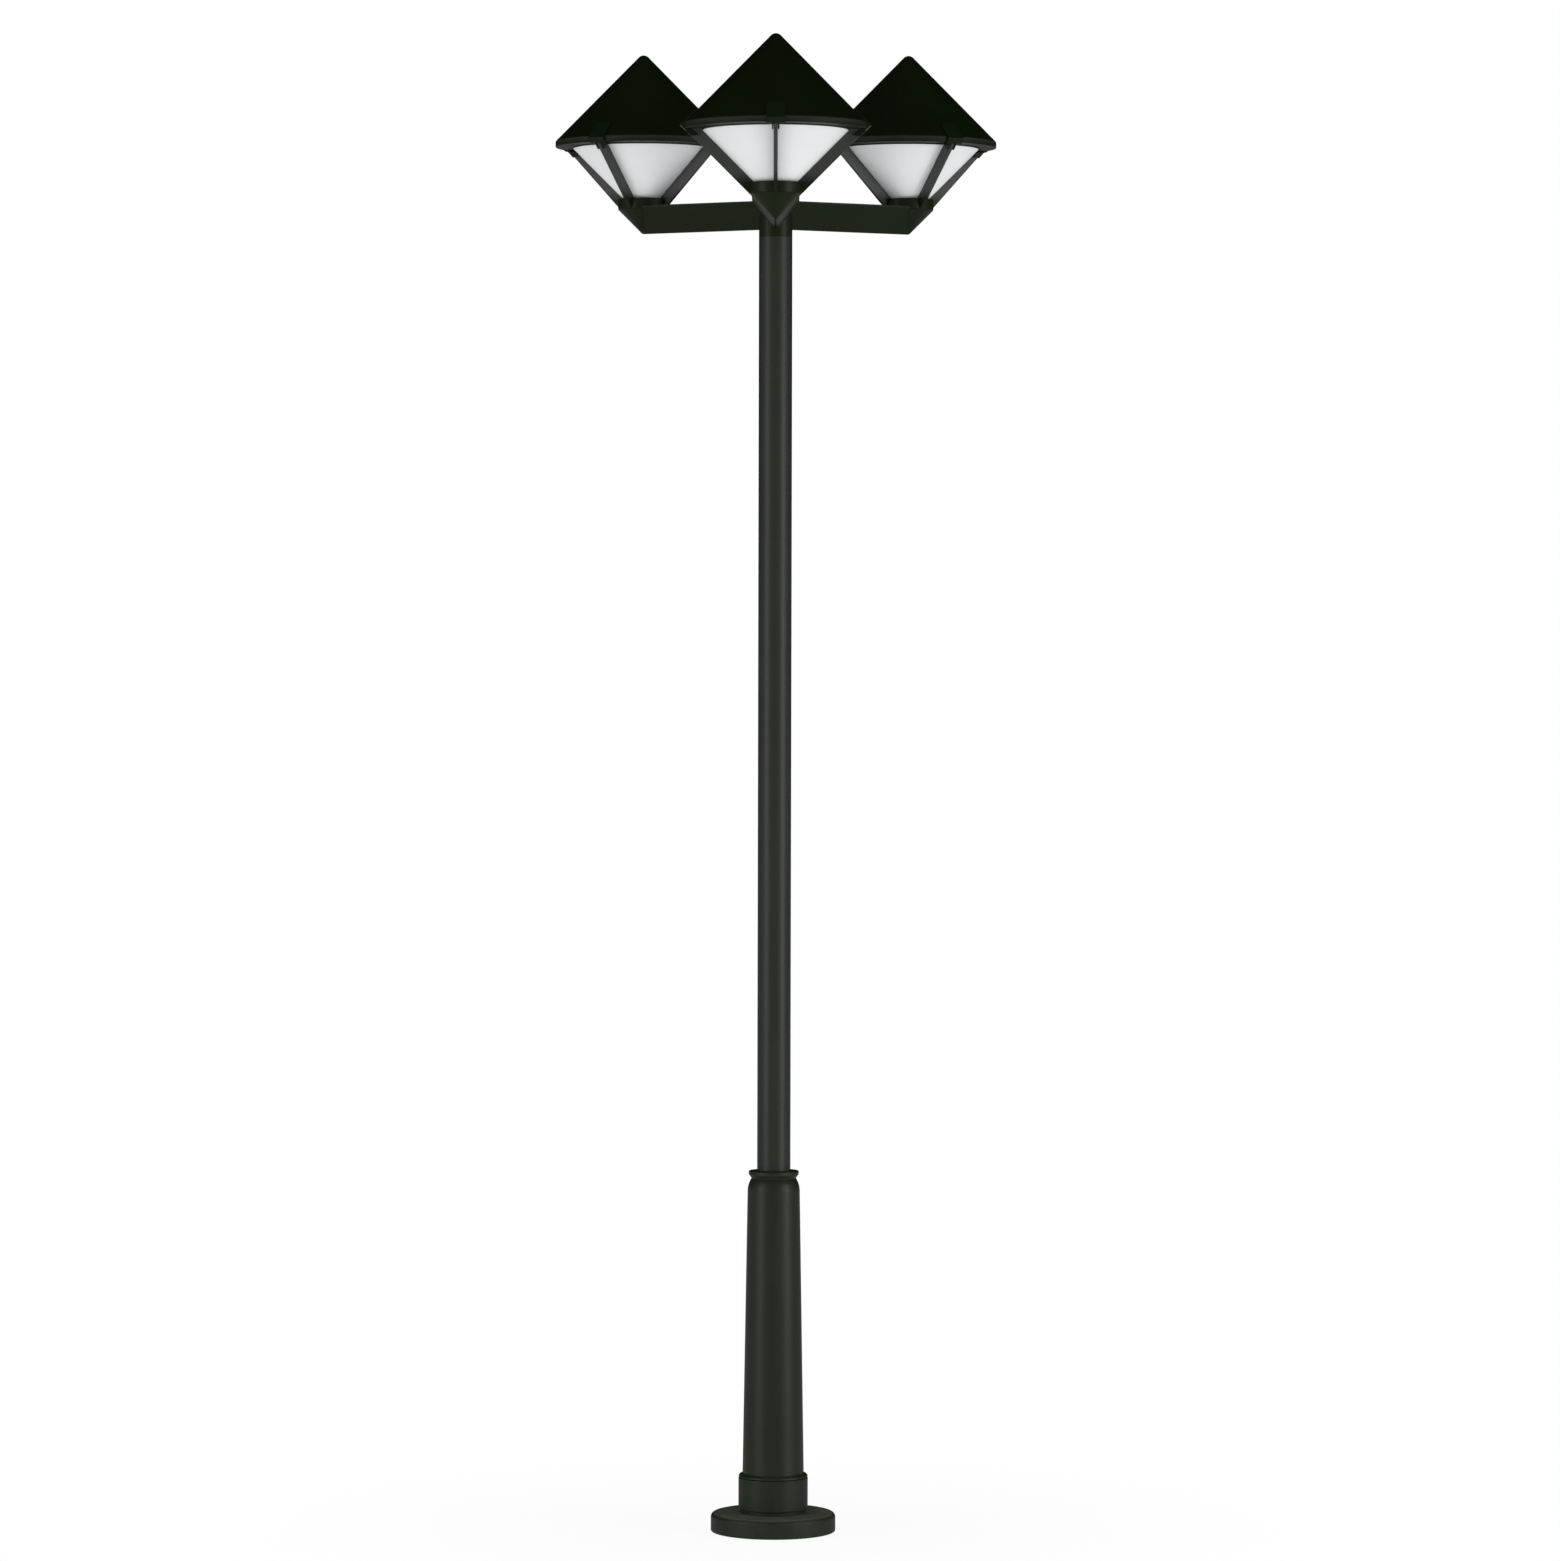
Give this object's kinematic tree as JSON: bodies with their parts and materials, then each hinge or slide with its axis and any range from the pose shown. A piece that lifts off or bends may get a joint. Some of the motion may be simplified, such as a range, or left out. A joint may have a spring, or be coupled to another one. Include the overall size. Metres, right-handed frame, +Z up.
{
  "type": "garden lamp post",
  "caption": "Garden lamp post with arms spread about its top, each carrying a diamond lantern with a conical roof and an opal diffuser.",
  "frame": {"origin": "centre of the foot's bolt circle, on the underside of the foot flange, on the post's axis", "axes": "+Z up along the post's axis, -Y along the front arm, +X to the right when looking at the front arm's lantern"},
  "size_m": [0.8014, 0.7438, 2.6728],
  "materials": {
    "foot_paint": "satin dark green-black powder coat on castings",
    "post_paint": "satin dark green-black powder coat on tube",
    "arm_paint": "satin dark green-black powder coat",
    "fin_paint": "satin dark green-black powder coat",
    "clip_paint": "satin dark green-black powder coat",
    "roof_paint": "satin near-black green powder coat",
    "opal": "opal white acrylic, satin",
    "rubber": "black moulded rubber",
    "cable_sheath": "matt black cable sheath",
    "steel": "zinc plated",
    "terminal_plastic": "moulded terminal housing",
    "ceramic": "glazed white ceramic",
    "cap_metal": "nickel plated lamp cap",
    "lamp_glass": "frosted white lamp globe"
  },
  "bodies": {
    "post": {"foot_flange": "foot_paint", "foot_grub_screws": "steel", "cable_bush": "rubber", "base_terminal": "terminal_plastic", "post_tube": "post_paint", "head_grub_screws": "steel", "riser_cable": "cable_sheath", "base_ring": "foot_paint", "shoulder_ring": "foot_paint", "tapered_sleeve": "post_paint", "sleeve_collar": "foot_paint", "collar_grub_screw": "steel"},
    "head": {"hub_core": "arm_paint", "hub_cap": "arm_paint", "hub_cap_screws": "steel", "hub_terminal": "terminal_plastic", "cable_grommets": "rubber", "holder_screws": "steel", "arm_front": "arm_paint", "arm_cable_front": "cable_sheath", "lamp_cup_front": "arm_paint", "lamp_cage_front": "fin_paint", "diffuser_front": "opal", "diffuser_gasket_front": "rubber", "holder_plate_front": "steel", "lampholder_front": "ceramic", "arm_right": "arm_paint", "arm_cable_right": "cable_sheath", "lamp_cup_right": "arm_paint", "lamp_cage_right": "fin_paint", "diffuser_right": "opal", "diffuser_gasket_right": "rubber", "holder_plate_right": "steel", "lampholder_right": "ceramic", "arm_left": "arm_paint", "arm_cable_left": "cable_sheath", "lamp_cup_left": "arm_paint", "lamp_cage_left": "fin_paint", "diffuser_left": "opal", "diffuser_gasket_left": "rubber", "holder_plate_left": "steel", "lampholder_left": "ceramic"},
    "roof_lid_front": {"roof_front": "roof_paint", "roof_clips_front": "clip_paint", "roof_lock_screws_front": "steel"},
    "roof_lid_right": {"roof_right": "roof_paint", "roof_clips_right": "clip_paint", "roof_lock_screws_right": "steel"},
    "roof_lid_left": {"roof_left": "roof_paint", "roof_clips_left": "clip_paint", "roof_lock_screws_left": "steel"},
    "lamp_front": {"lamp_cap_front": "cap_metal", "lamp_globe_front": "lamp_glass"},
    "lamp_right": {"lamp_cap_right": "cap_metal", "lamp_globe_right": "lamp_glass"},
    "lamp_left": {"lamp_cap_left": "cap_metal", "lamp_globe_left": "lamp_glass"}
  },
  "joints": [
    {"name": "head_turn", "type": "hinge", "parent": "post", "child": "head", "pos_m": [0, 0, 2.3317], "axis": [0, 0, 1], "range_deg": [-180, 180]},
    {"name": "roof_lift_front", "type": "slide", "parent": "head", "child": "roof_lid_front", "axis": [0, 0, 1], "range_m": [0, 0.1]},
    {"name": "roof_lift_right", "type": "slide", "parent": "head", "child": "roof_lid_right", "axis": [0, 0, 1], "range_m": [0, 0.1]},
    {"name": "roof_lift_left", "type": "slide", "parent": "head", "child": "roof_lid_left", "axis": [0, 0, 1], "range_m": [0, 0.1]},
    {"name": "lamp_draw_front", "type": "slide", "parent": "head", "child": "lamp_front", "axis": [0, 0, 1], "range_m": [0, 0.032]},
    {"name": "lamp_draw_right", "type": "slide", "parent": "head", "child": "lamp_right", "axis": [0, 0, 1], "range_m": [0, 0.032]},
    {"name": "lamp_draw_left", "type": "slide", "parent": "head", "child": "lamp_left", "axis": [0, 0, 1], "range_m": [0, 0.032]}
  ]
}
